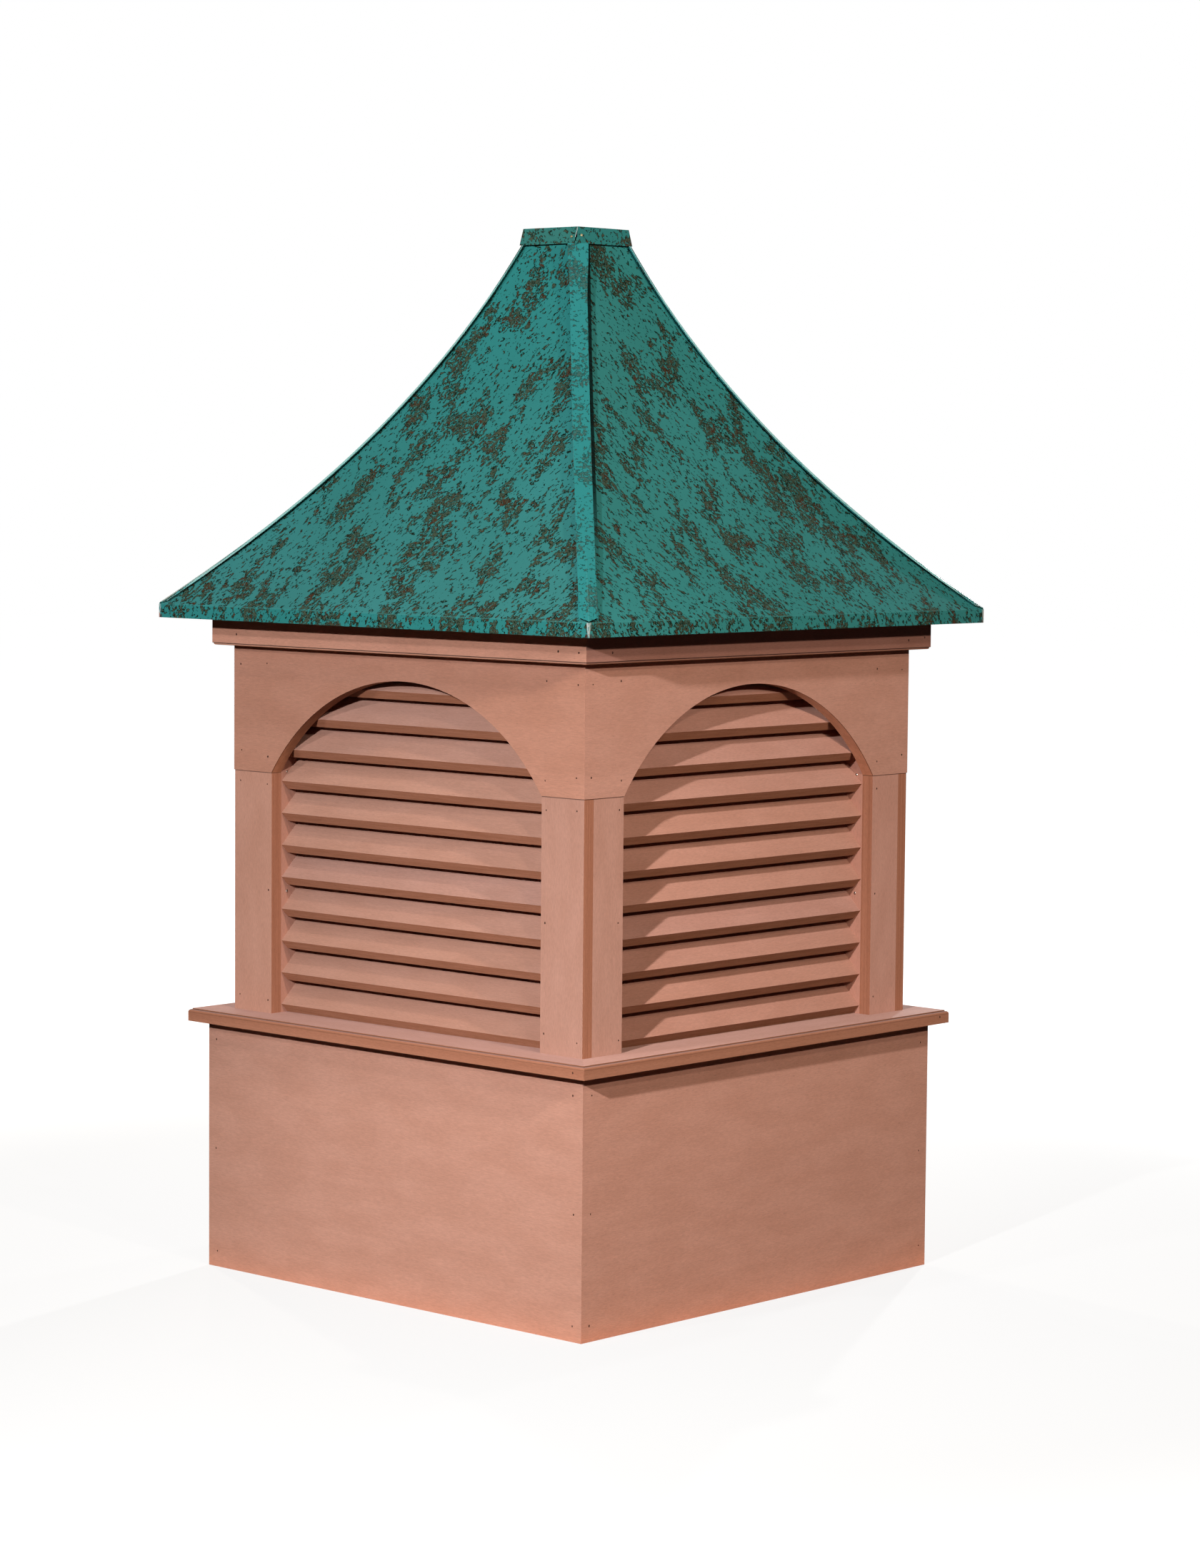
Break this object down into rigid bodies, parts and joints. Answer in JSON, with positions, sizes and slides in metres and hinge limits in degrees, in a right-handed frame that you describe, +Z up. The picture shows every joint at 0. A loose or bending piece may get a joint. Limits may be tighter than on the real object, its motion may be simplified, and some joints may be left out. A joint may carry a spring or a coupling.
{
  "type": "louvred roof cupola",
  "caption": "Square timber roof cupola with a boxed base, moulded sill, arched louvred sides and a concave hipped metal roof with hip strips and a flat cap.",
  "frame": {"origin": "centre of the square base, on the plane it rests on", "axes": "+Z up, -Y out of the front, +X out of the right side"},
  "size_m": [0.8668, 0.8668, 1.5465],
  "materials": {
    "timber": "bare softwood boards, pinkish brown",
    "roof_sheet": "blue-green patina with dark streaky speckles",
    "hip_strip": "lighter blue-green patina with bare metal edges"
  },
  "bodies": {
    "root": {"back_arched_header": "timber", "back_base_panel": "timber", "back_crown_board": "timber", "back_left_hip_cap": "hip_strip", "back_left_stile": "timber", "back_louvre_jambs": "timber", "back_louvre_slats": "timber", "back_right_hip_cap": "hip_strip", "back_right_stile": "timber", "back_roof_panel": "roof_sheet", "back_sill": "timber", "eave_deck": "timber", "front_arched_header": "timber", "front_base_panel": "timber", "front_crown_board": "timber", "front_left_hip_cap": "hip_strip", "front_left_stile": "timber", "front_louvre_jambs": "timber", "front_louvre_slats": "timber", "front_right_hip_cap": "hip_strip", "front_right_stile": "timber", "front_roof_panel": "roof_sheet", "front_sill": "timber", "left_arched_header": "timber", "left_back_stile": "timber", "left_base_panel": "timber", "left_crown_board": "timber", "left_front_stile": "timber", "left_louvre_jambs": "timber", "left_louvre_slats": "timber", "left_roof_panel": "roof_sheet", "left_sill": "timber", "right_arched_header": "timber", "right_back_stile": "timber", "right_base_panel": "timber", "right_crown_board": "timber", "right_front_stile": "timber", "right_louvre_jambs": "timber", "right_louvre_slats": "timber", "right_roof_panel": "roof_sheet", "right_sill": "timber", "top_cap": "hip_strip"}
  },
  "joints": []
}
